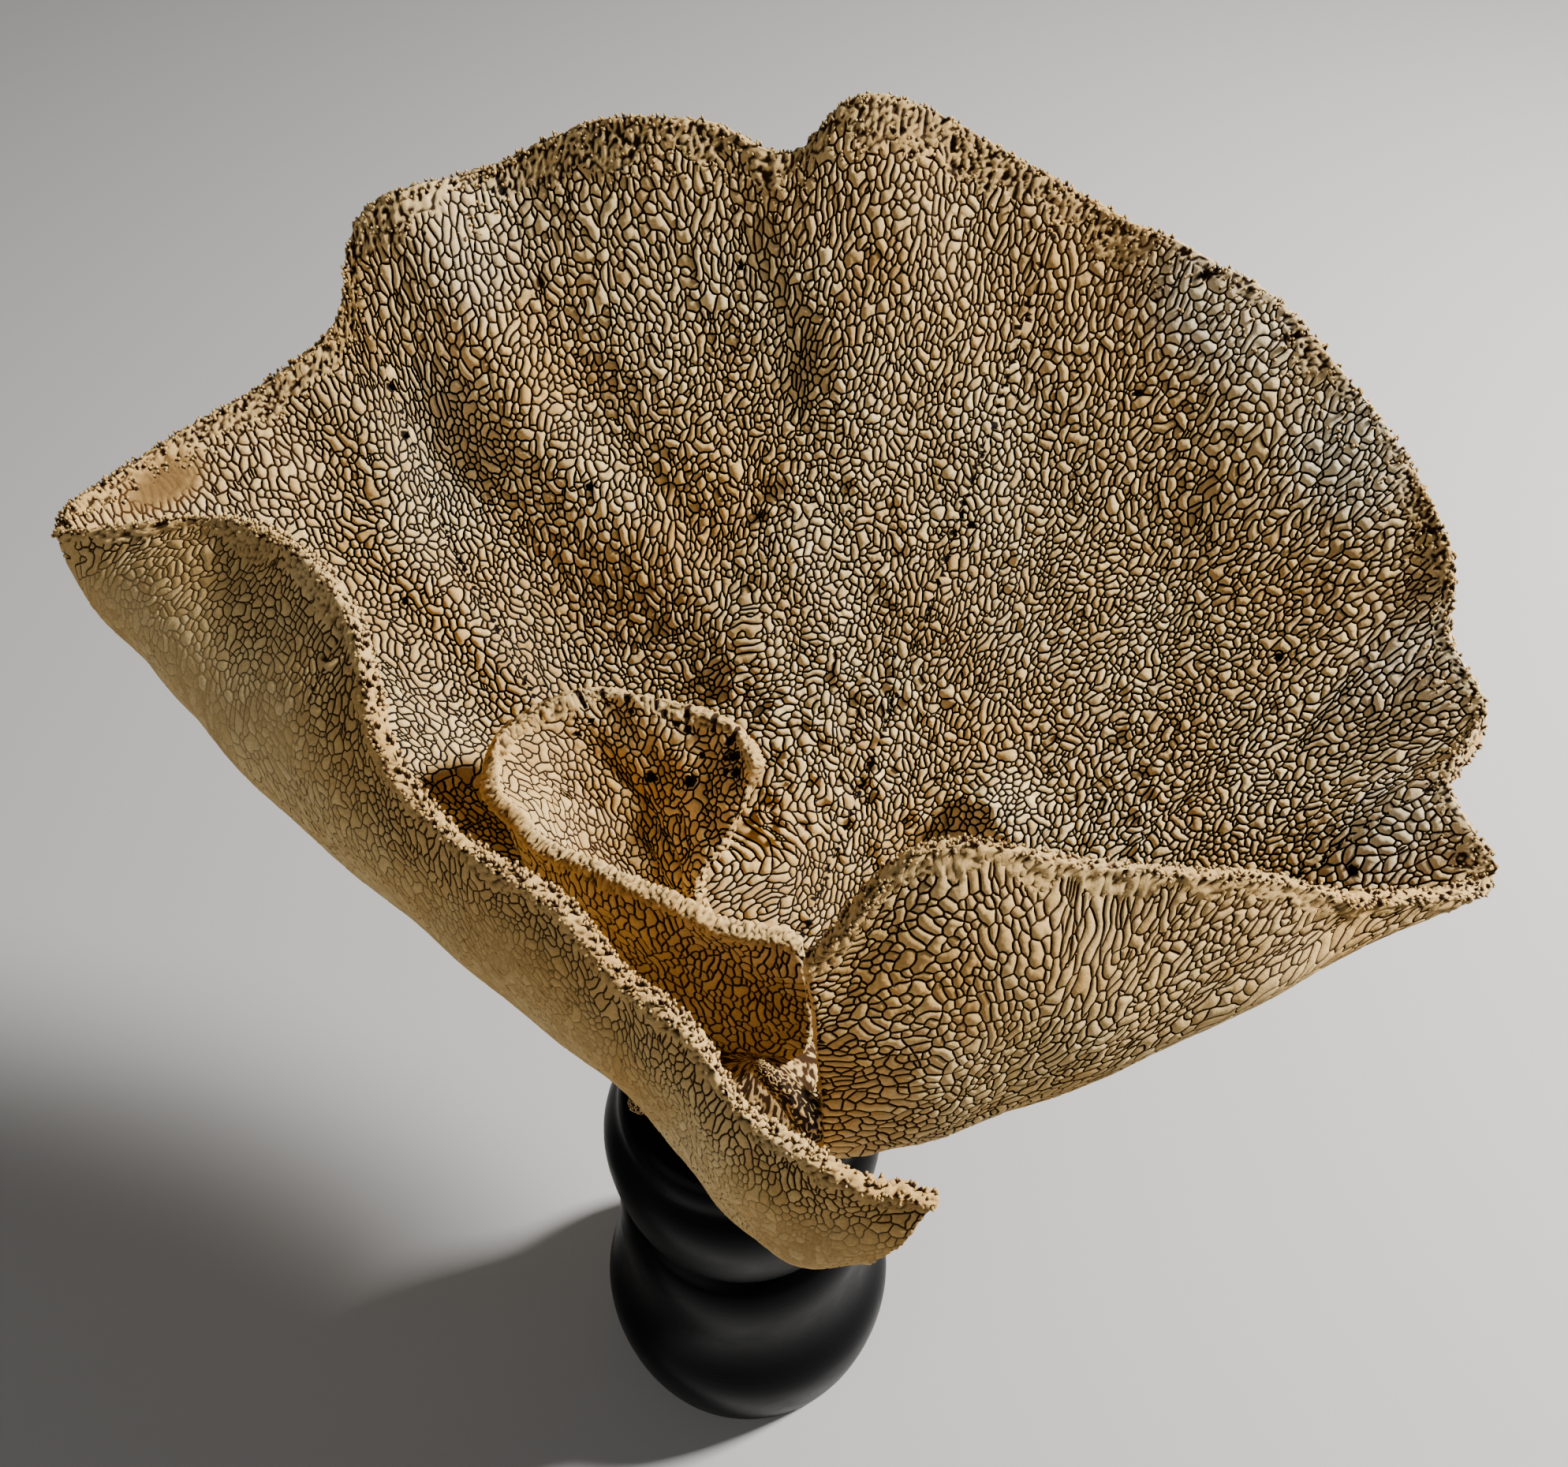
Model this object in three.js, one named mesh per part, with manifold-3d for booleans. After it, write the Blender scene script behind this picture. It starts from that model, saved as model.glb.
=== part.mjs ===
// A dried cup sponge on a turned, black lacquered wooden stand. Millimetres, +Z up.
// The origin is the centre of the stand's underside, so the floor is z = 0.
// The sponge is a thin sheet that grew as one deep fan, wrapped round into a boat-shaped cup that leans back,
// with its two free edges overlapping at the front and a smaller scoop-shaped frond inside.
import * as THREE from "three";
import { mergeVertices } from "three/addons/utils/BufferGeometryUtils.js";
import Module from "manifold-3d";

const wasm = await Module();
wasm.setup();

// The sheet's thickness, and the gap left between pieces that touch.
const WALL = 3.6;
const TOUCH_GAP = 0.3;

// The stand's height, and the sponge's short solid foot that stands on it.
const STAND_TOP = 110;
const FOOT = { radius: 13, height: 15, x: 3, y: -3 };

// The cup's sheet as radial ribs, from the free front edge on the left, round the back, to the free edge on the right.
// Each rib passes from the foot through low and high to the rim.
const CUP_ROOT = { x: 3, y: -3, radius: 9, height: 115, from: -57, to: -405 };
const CUP_RIBS = [
  { low: [10, -35, 123], high: [24, -50, 140], rim: [34, -49, 155] },
  { low: [6, -35, 123], high: [12, -49, 138], rim: [18, -43, 158] },
  { low: [-1, -31, 124], high: [-1, -40, 144], rim: [2, -35, 164] },
  { low: [-10, -21, 128], high: [-19, -23, 155], rim: [-18, -18, 177] },
  { low: [-20, -12, 133], high: [-38, -11, 164], rim: [-38, -3, 185] },
  { low: [-32, -4, 136], high: [-60, 3, 173], rim: [-59, 15, 197] },
  { low: [-42, 5, 140], high: [-80, 18, 182], rim: [-71, 42, 210] },
  { low: [-50, 13, 144], high: [-98, 33, 188], rim: [-87, 58, 211] },
  { low: [-56, 21, 147], high: [-112, 46, 191], rim: [-103, 66, 207] },
  { low: [-60, 30, 148], high: [-119, 59, 187], rim: [-133, 69, 203] },
  { low: [-52, 41, 144], high: [-100, 74, 181], rim: [-119, 93, 204] },
  { low: [-42, 47, 140], high: [-82, 84, 176], rim: [-99, 109, 209] },
  { low: [-37, 51, 140], high: [-70, 91, 178], rim: [-85, 118, 218] },
  { low: [-31, 54, 140], high: [-59, 98, 182], rim: [-77, 132, 236] },
  { low: [-20, 60, 143], high: [-38, 104, 188], rim: [-48, 140, 241] },
  { low: [-5, 62, 146], high: [-9, 109, 195], rim: [-12, 144, 248] },
  { low: [4, 63, 147], high: [6, 110, 197], rim: [10, 141, 242] },
  { low: [13, 63, 147], high: [21, 110, 198], rim: [27, 146, 252] },
  { low: [24, 62, 144], high: [44, 109, 192], rim: [59, 143, 240] },
  { low: [38, 57, 138], high: [70, 102, 181], rim: [93, 134, 225] },
  { low: [51, 47, 133], high: [95, 84, 167], rim: [131, 110, 204] },
  { low: [58, 35, 128], high: [108, 63, 155], rim: [148, 84, 186] },
  { low: [60, 29, 126], high: [111, 52, 149], rim: [148, 68, 173] },
  { low: [60, 23, 124], high: [112, 41, 144], rim: [153, 53, 166] },
  { low: [59, 13, 122], high: [109, 26, 138], rim: [143, 38, 161] },
  { low: [57, 4, 121], high: [107, 12, 136], rim: [151, 24, 150] },
  { low: [50, -9, 121], high: [94, -3, 144], rim: [122, 13, 157] },
  { low: [42, -14, 122], high: [78, -8, 145], rim: [97, 11, 168] },
  { low: [36, -18, 123], high: [58, -12, 147], rim: [66, 6, 177] },
  { low: [28, -21, 124], high: [38, -14, 152], rim: [34, 2, 187] },
  { low: [16, -22, 123], high: [16, -17, 145], rim: [13, -10, 169] },
];

// The frond inside the cup: a scoop, from its front edge round its left corner to its back edge.
const FROND_ROOT = { x: 0, y: 6, radius: 7, height: 116, from: -60, to: -330 };
const FROND_RIBS = [
  { low: [13, -2, 128], high: [14, -1, 144], rim: [11.5, 0, 160] },
  { low: [0, 1, 129], high: [-2, 3, 146], rim: [-6, 5, 164] },
  { low: [-12, 4, 130], high: [-18, 7, 148], rim: [-22, 11, 167.5] },
  { low: [-20, 10, 132], high: [-34, 16, 151], rim: [-38, 19, 167] },
  { low: [-22, 18, 133], high: [-38, 26, 153], rim: [-47, 29, 168] },
  { low: [-20, 25, 133], high: [-34, 39, 151], rim: [-48, 46, 168] },
  { low: [-14, 28, 133], high: [-24, 43, 150], rim: [-34, 57, 169] },
  { low: [-11.5, 28, 133.5], high: [-16, 42, 150], rim: [-19, 56, 168] },
  { low: [-10, 28.5, 134.5], high: [-9.5, 39, 149], rim: [-3, 51, 166.5] },
  { low: [-8.5, 28, 136], high: [-3.5, 34, 148], rim: [4.5, 43, 162.5] },
];

// Where the rim falls short of its ribs, or stands past them (below 0), as [rib, mm].
const RIB_LENGTH = 150;
const RIM_NOTCHES = [
  [0, 0], [2, 0], [2.45, -9], [3.1, 2], [3.7, -6], [4.6, 3], [5.4, 0], [13.5, 1], [14.5, -2], [15, 0], [17.5, 0],
  [18.7, 1.5], [19, 0], [19.5, -2.5], [20, 0], [30, 0],
];

// Pleats that run up the cup's inner face: each line is given in (rib, share of the way from foot to rim),
// and the sheet rises towards the inside by rise within about width of the line.
const PLEATS = [
  { line: [[13.3, 0.97], [13.9, 0.72], [14.5, 0.58], [15.7, 0.43]], width: 8, rise: 2.4 },
  { line: [[14.0, 0.95], [14.3, 0.7], [14.8, 0.55]], width: 10, rise: -1.8 },
  { line: [[12.6, 0.95], [13.0, 0.75], [13.6, 0.5]], width: 9, rise: -1.4 },
  { line: [[11.6, 0.9], [12.0, 0.65], [12.6, 0.45]], width: 8, rise: 1.4 },
  { line: [[17.4, 0.98], [17.2, 0.75]], width: 12, rise: 1.4 },
  { line: [[19.2, 0.98], [18.8, 0.8]], width: 12, rise: 1.2 },
  { line: [[20.4, 0.97], [20.0, 0.8], [19.2, 0.6]], width: 12, rise: -1.4 },
];
// Gentle waves of the whole sheet: height in mm, waves per rib, waves from foot to rim, and where they start.
const WAVES = [
  { height: 0.7, along: 0.31, up: 1.7, start: 0.1 },
  { height: 0.5, along: 0.53, up: -2.6, start: 0.4 },
  { height: 0.35, along: 0.9, up: 3.9, start: 0.7 },
];

// Lumps on the cup's inner face only, each at (rib, share of the way from foot to rim).
const LUMPS = [
  { at: [20, 0.37], width: 7, rise: 6 },
  { at: [17, 0.45], width: 8, rise: 2.2 },
  { at: [18.4, 0.5], width: 8, rise: 2 },
  { at: [16.2, 0.52], width: 7, rise: 1.8 },
  { at: [19.3, 0.6], width: 9, rise: 1.8 },
];

// Small outgrowths on the cup, each a tapered stub with a round tip.
const OUTGROWTHS = [
  { from: [15, -20, 130], to: [5, -22.5, 155], thick: 3.8, thin: 2.2 },
  { from: [-2, -6, 116], to: [-20, -11, 122], thick: 4, thin: 2.6 },
];

// How finely the sheets are faceted: steps along the rim between two ribs, and steps from foot to rim.
const CUP_STEPS = { along: 4, up: 9 };
const FROND_STEPS = { along: 3, up: 6 };

// The stand's profile, as radius and height, from the underside's centre to the top's centre.
const STAND_PROFILE = [
  [0, 0], [31, 0], [31.8, 1], [33.2, 7], [34.3, 14], [34.7, 20], [34.4, 25], [33.2, 29], [31.4, 33], [30, 38],
  [29.4, 44], [29.5, 51], [29.4, 57], [28.6, 62], [27, 65.4], [25.2, 66.8], [24.2, 68], [25.2, 69.2], [27, 72],
  [28.8, 79], [29.9, 87], [30.2, 93], [29.6, 97.5], [28.2, 100.6], [26.8, 102.6], [26.5, 104.4], [26.2, 106.6],
  [25, 108.9], [23.2, 110], [0, 110],
];
const STAND_SIDES = 36;

// How far along u or v a surface's direction is measured.
const EDGE_STEP = 0.01;

// The mid-surface of a sheet: u counts ribs, v runs from 0 at the foot to 1 at the rim, and straight on past it.
function sheetSurface(root, ribs) {
  const foot = ribs.map((_, i) => {
    const turn = THREE.MathUtils.degToRad(root.from + ((root.to - root.from) * i) / (ribs.length - 1));
    return new THREE.Vector3(
      root.x + root.radius * Math.cos(turn),
      root.y + root.radius * Math.sin(turn),
      root.height,
    );
  });
  const rows = ["low", "high", "rim"].map((row) => ribs.map((rib) => new THREE.Vector3(...rib[row])));
  const rings = [foot, ...rows].map((points) => new THREE.CatmullRomCurve3(points, false, "catmullrom"));
  return (u, v) => {
    const share = u / (ribs.length - 1);
    const rib = new THREE.CatmullRomCurve3(rings.map((ring) => ring.getPoint(share)), false, "catmullrom");
    if (v <= 1) return rib.getPoint(v);
    const rim = rib.getPoint(1);
    return rim.clone().addScaledVector(rim.sub(rib.getPoint(1 - EDGE_STEP)), (v - 1) / EDGE_STEP);
  };
}

// A surface's normal at (u, v), pointing out of the cup.
function sheetNormal(surface, u, v, lastU) {
  const alongRim = surface(Math.min(u + EDGE_STEP, lastU), v).sub(surface(Math.max(u - EDGE_STEP, 0), v));
  const upRib = surface(u, Math.min(v + EDGE_STEP, 1)).sub(surface(u, Math.max(v - EDGE_STEP, 0)));
  return upRib.cross(alongRim).normalize();
}

// How far the rim falls short of its ribs at u.
function notchAt(notches, u) {
  const next = notches.findIndex(([rib]) => rib > u);
  if (next < 1) return next ? notches[notches.length - 1][1] : notches[0][1];
  const [from, start] = notches[next - 1];
  const [to, end] = notches[next];
  return THREE.MathUtils.lerp(start, end, THREE.MathUtils.smoothstep(u, from, to));
}

// The same surface with its notched rim, its pleats and its waves.
function grownSurface(smooth, lastU, notches, pleats) {
  const surface = (u, v) => smooth(u, v - (v ** 3 * notchAt(notches, u)) / RIB_LENGTH);
  const lines = pleats.map(({ line }) => line.map(([u, v]) => surface(u, v)));
  const nearest = new THREE.Vector3();
  return (u, v) => {
    const point = surface(u, v);
    let out = 0;
    pleats.forEach(({ width, rise }, n) => {
      let distance = Infinity;
      for (let i = 0; i + 1 < lines[n].length; i++) {
        new THREE.Line3(lines[n][i], lines[n][i + 1]).closestPointToPoint(point, true, nearest);
        distance = Math.min(distance, nearest.distanceTo(point));
      }
      out -= rise * Math.exp(-((distance / width) ** 2));
    });
    for (const { height, along, up, start } of WAVES) {
      out += height * v * Math.sin(2 * Math.PI * (along * u + up * v + start));
    }
    return point.addScaledVector(sheetNormal(surface, u, v, lastU), out);
  };
}

// A closed sheet with rounded rim and free edges: a box bent so that its width runs along the ribs' rim,
// its height from foot to rim, and its depth through the wall. It is of even thickness, but for the lumps inside.
function sheetGeometry(root, ribs, steps, wall, notches, pleats, lumps) {
  const lastU = ribs.length - 1;
  const surface = grownSurface(sheetSurface(root, ribs), lastU, notches, pleats);
  const peaks = lumps.map(({ at }) => surface(...at));
  const lumpHeight = (point) =>
    lumps.reduce((sum, { width, rise }, n) => sum + rise * Math.exp(-((point.distanceTo(peaks[n]) / width) ** 2)), 0);
  const sheet = new THREE.BoxGeometry(lastU, 1, 1, lastU * steps.along, steps.up, 2).translate(lastU / 2, 0.5, 0);
  const place = sheet.attributes.position;
  for (let i = 0; i < place.count; i++) {
    const u = THREE.MathUtils.clamp(place.getX(i), 0, lastU);
    const v = THREE.MathUtils.clamp(place.getY(i), 0, 1);
    const inward = 2 * place.getZ(i);
    const point = surface(u, v);
    if (inward === 0) {
      const rimward = v === 1 ? point.clone().sub(surface(u, 1 - EDGE_STEP)) : new THREE.Vector3();
      const endward = u === 0 || u === lastU
        ? point.clone().sub(surface(u === 0 ? EDGE_STEP : lastU - EDGE_STEP, v))
        : new THREE.Vector3();
      point.add(rimward.setLength(v === 1 ? wall / 2 : 0)).add(endward.setLength(u === 0 || u === lastU ? wall / 2 : 0));
    } else {
      const lump = inward > 0 ? lumpHeight(point) : 0;
      point.addScaledVector(sheetNormal(surface, u, v, lastU), -inward * (wall / 2 + lump));
    }
    place.setXYZ(i, point.x, point.y, point.z);
  }
  return sheet;
}

// A closed geometry as a solid that can be joined and cut.
function solidOf(geometry) {
  const bare = geometry.clone();
  bare.deleteAttribute("normal");
  bare.deleteAttribute("uv");
  const merged = mergeVertices(bare, 1e-4);
  return new wasm.Manifold(
    new wasm.Mesh({
      numProp: 3,
      vertProperties: new Float32Array(merged.attributes.position.array),
      triVerts: new Uint32Array(merged.index.array),
    }),
  );
}

function geometryOf(solid) {
  const mesh = solid.getMesh();
  const geometry = new THREE.BufferGeometry();
  geometry.setAttribute("position", new THREE.BufferAttribute(new Float32Array(mesh.vertProperties), 3));
  geometry.setIndex(new THREE.BufferAttribute(new Uint32Array(mesh.triVerts), 1));
  geometry.computeVertexNormals();
  return geometry;
}

// The solid foot in which the whole sheet comes together, grown all round by extra.
function footGeometry(extra) {
  const { radius, height } = FOOT;
  const profile = [
    [0, 0],
    [radius + extra, 0],
    [radius + 0.6 + extra, height * 0.4],
    [radius * 0.9 + extra, height * 0.8],
    [radius * 0.5 + extra, height + extra],
    [0, height + extra],
  ];
  return new THREE.LatheGeometry(profile.map(([r, z]) => new THREE.Vector2(r, z)), 18)
    .rotateX(Math.PI / 2)
    .translate(FOOT.x, FOOT.y, STAND_TOP + TOUCH_GAP);
}

// A tapered stub from one point to another, round at both ends.
function outgrowthGeometry({ from, to, thick, thin }) {
  const start = new THREE.Vector3(...from);
  const axis = new THREE.Vector3(...to).sub(start);
  const length = axis.length();
  const quarter = [0, 45, 90].map((angle) => THREE.MathUtils.degToRad(angle));
  const profile = [
    ...quarter.map((a) => new THREE.Vector2(thick * Math.sin(a), -thick * Math.cos(a))),
    ...quarter.map((a) => new THREE.Vector2(thin * Math.cos(a), length - thin + thin * Math.sin(a))),
  ];
  profile[0].x = 0;
  profile[profile.length - 1].x = 0;
  return new THREE.LatheGeometry(profile, 9)
    .applyQuaternion(new THREE.Quaternion().setFromUnitVectors(new THREE.Vector3(0, 1, 0), axis.normalize()))
    .translate(start.x, start.y, start.z);
}

function standGeometry() {
  return new THREE.LatheGeometry(STAND_PROFILE.map(([r, z]) => new THREE.Vector2(r, z)), STAND_SIDES)
    .rotateX(Math.PI / 2);
}

const driedSponge = new THREE.MeshStandardMaterial({ color: 0xcdb083, roughness: 0.95, metalness: 0 });
const blackLacquer = new THREE.MeshStandardMaterial({ color: 0x14151a, roughness: 0.35, metalness: 0 });

const part = new THREE.Group();

function addPiece(name, geometry, material) {
  const mesh = new THREE.Mesh(geometry, material);
  mesh.name = name;
  part.add(mesh);
}

// The cup's sheet and foot, grown all round by extra.
function cupSolid(extra) {
  const sheet = sheetGeometry(CUP_ROOT, CUP_RIBS, CUP_STEPS, WALL + 2 * extra, RIM_NOTCHES, PLEATS, LUMPS);
  return solidOf(sheet).add(solidOf(footGeometry(extra)));
}

// The largest of the separate bodies in a solid.
function mainBody(solid) {
  return solid.decompose().reduce((most, body) => (body.volume() > most.volume() ? body : most));
}

let cup = cupSolid(0);
for (const outgrowth of OUTGROWTHS) {
  cup = cup.add(solidOf(outgrowthGeometry(outgrowth)));
}
addPiece("sponge_cup", geometryOf(cup), driedSponge);

const scoop = solidOf(sheetGeometry(FROND_ROOT, FROND_RIBS, FROND_STEPS, WALL * 0.9, [[0, 0]], [], []));
addPiece("sponge_frond", geometryOf(mainBody(scoop.subtract(cupSolid(TOUCH_GAP)))), driedSponge);

addPiece("stand", standGeometry(), blackLacquer);

export default part;
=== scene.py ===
# A dried cup sponge on its turned, black lacquered stand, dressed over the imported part.
# Lengths in the tables below are millimetres, in the part's own frame, and repeat the part's source. The
# scene is in metres. A sheet is laid out flat, joined into cells and bent into place. Then its cells are
# raised.
import math
import random

import bmesh
import bpy
import numpy as np
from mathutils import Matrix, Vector


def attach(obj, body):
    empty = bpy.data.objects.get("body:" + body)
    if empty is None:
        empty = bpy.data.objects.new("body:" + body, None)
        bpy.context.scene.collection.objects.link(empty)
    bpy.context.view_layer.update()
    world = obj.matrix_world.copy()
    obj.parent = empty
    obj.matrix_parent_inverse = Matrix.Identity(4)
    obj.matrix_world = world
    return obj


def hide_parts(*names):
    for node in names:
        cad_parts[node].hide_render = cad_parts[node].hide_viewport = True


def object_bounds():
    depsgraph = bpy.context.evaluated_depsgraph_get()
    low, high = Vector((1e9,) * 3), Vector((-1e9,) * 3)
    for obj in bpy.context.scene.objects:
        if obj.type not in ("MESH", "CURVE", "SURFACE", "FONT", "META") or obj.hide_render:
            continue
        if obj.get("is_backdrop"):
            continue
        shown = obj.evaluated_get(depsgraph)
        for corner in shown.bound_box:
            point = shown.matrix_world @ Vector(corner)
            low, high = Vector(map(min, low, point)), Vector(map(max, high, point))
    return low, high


MM = 0.001
WALL = 3.6
FROND_WALL = WALL * 0.9
STAND_TOP = 110.0

# The sheet's ribs, from the foot through low and high to the rim, as in the part's source.
CUP_RIBS = [
    ((10, -35, 123), (24, -50, 140), (34, -49, 155)),
    ((6, -35, 123), (12, -49, 138), (18, -43, 158)),
    ((-1, -31, 124), (-1, -40, 144), (2, -35, 164)),
    ((-10, -21, 128), (-19, -23, 155), (-18, -18, 177)),
    ((-20, -12, 133), (-38, -11, 164), (-38, -3, 185)),
    ((-32, -4, 136), (-60, 3, 173), (-59, 15, 197)),
    ((-42, 5, 140), (-80, 18, 182), (-71, 42, 210)),
    ((-50, 13, 144), (-98, 33, 188), (-87, 58, 211)),
    ((-56, 21, 147), (-112, 46, 191), (-103, 66, 207)),
    ((-60, 30, 148), (-119, 59, 187), (-133, 69, 203)),
    ((-52, 41, 144), (-100, 74, 181), (-119, 93, 204)),
    ((-42, 47, 140), (-82, 84, 176), (-99, 109, 209)),
    ((-37, 51, 140), (-70, 91, 178), (-85, 118, 218)),
    ((-31, 54, 140), (-59, 98, 182), (-77, 132, 236)),
    ((-20, 60, 143), (-38, 104, 188), (-48, 140, 241)),
    ((-5, 62, 146), (-9, 109, 195), (-12, 144, 248)),
    ((4, 63, 147), (6, 110, 197), (10, 141, 242)),
    ((13, 63, 147), (21, 110, 198), (27, 146, 252)),
    ((24, 62, 144), (44, 109, 192), (59, 143, 240)),
    ((38, 57, 138), (70, 102, 181), (93, 134, 225)),
    ((51, 47, 133), (95, 84, 167), (131, 110, 204)),
    ((58, 35, 128), (108, 63, 155), (148, 84, 186)),
    ((60, 29, 126), (111, 52, 149), (148, 68, 173)),
    ((60, 23, 124), (112, 41, 144), (153, 53, 166)),
    ((59, 13, 122), (109, 26, 138), (143, 38, 161)),
    ((57, 4, 121), (107, 12, 136), (151, 24, 150)),
    ((50, -9, 121), (94, -3, 144), (122, 13, 157)),
    ((42, -14, 122), (78, -8, 145), (97, 11, 168)),
    ((36, -18, 123), (58, -12, 147), (66, 6, 177)),
    ((28, -21, 124), (38, -14, 152), (34, 2, 187)),
    ((16, -22, 123), (16, -17, 145), (13, -10, 169)),
]
FROND_RIBS = [
    ((13, -2, 128), (14, -1, 144), (11.5, 0, 160)),
    ((0, 1, 129), (-2, 3, 146), (-6, 5, 164)),
    ((-12, 4, 130), (-18, 7, 148), (-22, 11, 167.5)),
    ((-20, 10, 132), (-34, 16, 151), (-38, 19, 167)),
    ((-22, 18, 133), (-38, 26, 153), (-47, 29, 168)),
    ((-20, 25, 133), (-34, 39, 151), (-48, 46, 168)),
    ((-14, 28, 133), (-24, 43, 150), (-34, 57, 169)),
    ((-11.5, 28, 133.5), (-16, 42, 150), (-19, 56, 168)),
    ((-10, 28.5, 134.5), (-9.5, 39, 149), (-3, 51, 166.5)),
    ((-8.5, 28, 136), (-3.5, 34, 148), (4.5, 43, 162.5)),
]
CUP_ROOT = {"x": 3, "y": -3, "radius": 9, "height": 115, "from": -57, "to": -405}
FROND_ROOT = {"x": 0, "y": 6, "radius": 7, "height": 116, "from": -60, "to": -330}

# Where the rim falls short of its ribs, or stands past them (below 0), as (rib, mm).
RIM_NOTCHES = [
    (0, 0), (2, 0), (2.45, -9), (3.1, 2), (3.7, -6), (4.6, 3), (5.4, 0), (13.5, 1), (14.5, -2), (15, 0),
    (17.5, 0), (18.7, 1.5), (19, 0), (19.5, -2.5), (20, 0), (30, 0),
]
RIB_LENGTH = 150.0

# Pleats up the inner face: points as (rib, share from foot to rim), width and rise.
PLEATS = [
    (((13.3, 0.97), (13.9, 0.72), (14.5, 0.58), (15.7, 0.43)), 8, 2.4),
    (((14.0, 0.95), (14.3, 0.7), (14.8, 0.55)), 10, -1.8),
    (((12.6, 0.95), (13.0, 0.75), (13.6, 0.5)), 9, -1.4),
    (((11.6, 0.9), (12.0, 0.65), (12.6, 0.45)), 8, 1.4),
    (((17.4, 0.98), (17.2, 0.75)), 12, 1.4),
    (((19.2, 0.98), (18.8, 0.8)), 12, 1.2),
    (((20.4, 0.97), (20.0, 0.8), (19.2, 0.6)), 12, -1.4),
]
# Waves of the whole sheet: height, waves per rib, waves from foot to rim, start.
WAVES = [(0.7, 0.31, 1.7, 0.1), (0.5, 0.53, -2.6, 0.4), (0.35, 0.9, 3.9, 0.7)]
# Lumps on the inner face: rib, share from foot to rim, width, rise.
LUMPS = [(20, 0.37, 7, 6), (17, 0.45, 8, 2.2), (18.4, 0.5, 8, 2), (16.2, 0.52, 7, 1.8), (19.3, 0.6, 9, 1.8)]

# The stand's profile as (radius, height), from the underside's rim to the top's.
STAND_PROFILE = [
    (31, 0), (31.8, 1), (33.2, 7), (34.3, 14), (34.7, 20), (34.4, 25), (33.2, 29), (31.4, 33), (30, 38),
    (29.4, 44), (29.5, 51), (29.4, 57), (28.6, 62), (27, 65.4), (25.2, 66.8), (24.2, 68), (25.2, 69.2),
    (27, 72), (28.8, 79), (29.9, 87), (30.2, 93), (29.6, 97.5), (28.2, 100.6), (26.8, 102.6), (26.5, 104.4),
    (26.2, 106.6), (25, 108.9), (23.2, 110),
]


# The surface of a sheet


def spline(points, t):
    """Points on a Catmull-Rom curve through points (k, ...), at each t counted in points."""
    ends = 2 * points[:1] - points[1:2], 2 * points[-1:] - points[-2:-1]
    p = np.concatenate([ends[0], points, ends[1]])
    i = np.clip(t.astype(int), 0, len(points) - 2)
    w = (t - i).reshape((-1,) + (1,) * (points.ndim - 1))
    a, b, c, d = p[i], p[i + 1], p[i + 2], p[i + 3]
    return 0.5 * (2 * b + (c - a) * w + (2 * a - 5 * b + 4 * c - d) * w * w + (3 * b - a - 3 * c + d) * w**3)


def unit(v):
    return v / np.maximum(np.linalg.norm(v, axis=-1, keepdims=True), 1e-9)


def smoothstep(low, high, x):
    s = np.clip((x - low) / (high - low), 0, 1)
    return s * s * (3 - 2 * s)


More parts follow.
